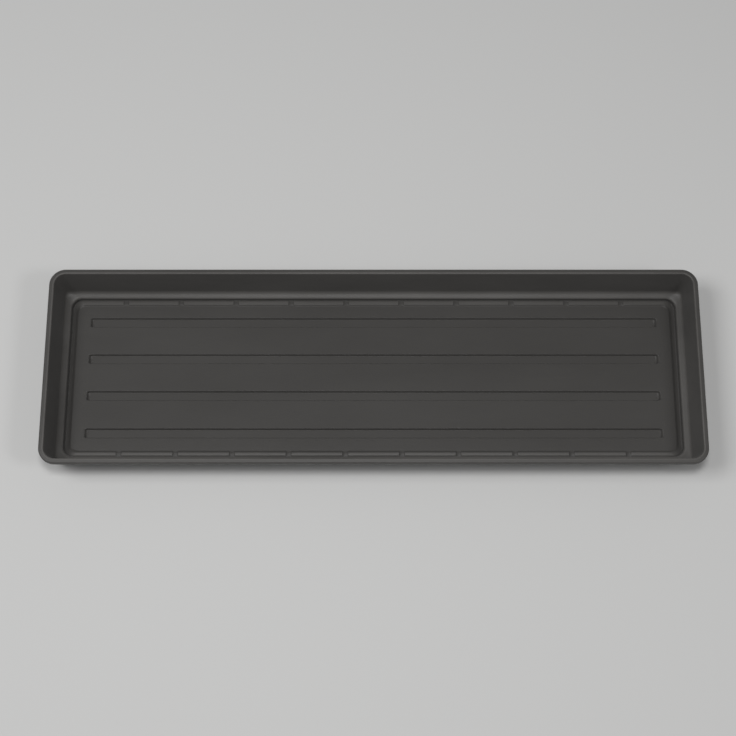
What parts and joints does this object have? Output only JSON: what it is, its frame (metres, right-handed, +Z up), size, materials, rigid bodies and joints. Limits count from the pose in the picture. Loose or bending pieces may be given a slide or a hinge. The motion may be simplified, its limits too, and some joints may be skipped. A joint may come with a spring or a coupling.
{
  "type": "plant saucer",
  "caption": "Long rectangular plastic saucer that stands under a window box to catch water, with a turned-down rim, a sloping shoulder, a notched border and long floor runners.",
  "frame": {"origin": "middle of the tray's footprint, on the surface that its runners stand on", "axes": "+X along the tray's length, +Y across it, +Z up out of the open top"},
  "size_m": [0.6, 0.187, 0.041],
  "materials": {
    "dark_plastic": "dark warm grey moulded polypropylene, satin with a fine grain"
  },
  "bodies": {
    "root": {"saucer_tray": "dark_plastic"}
  },
  "joints": []
}
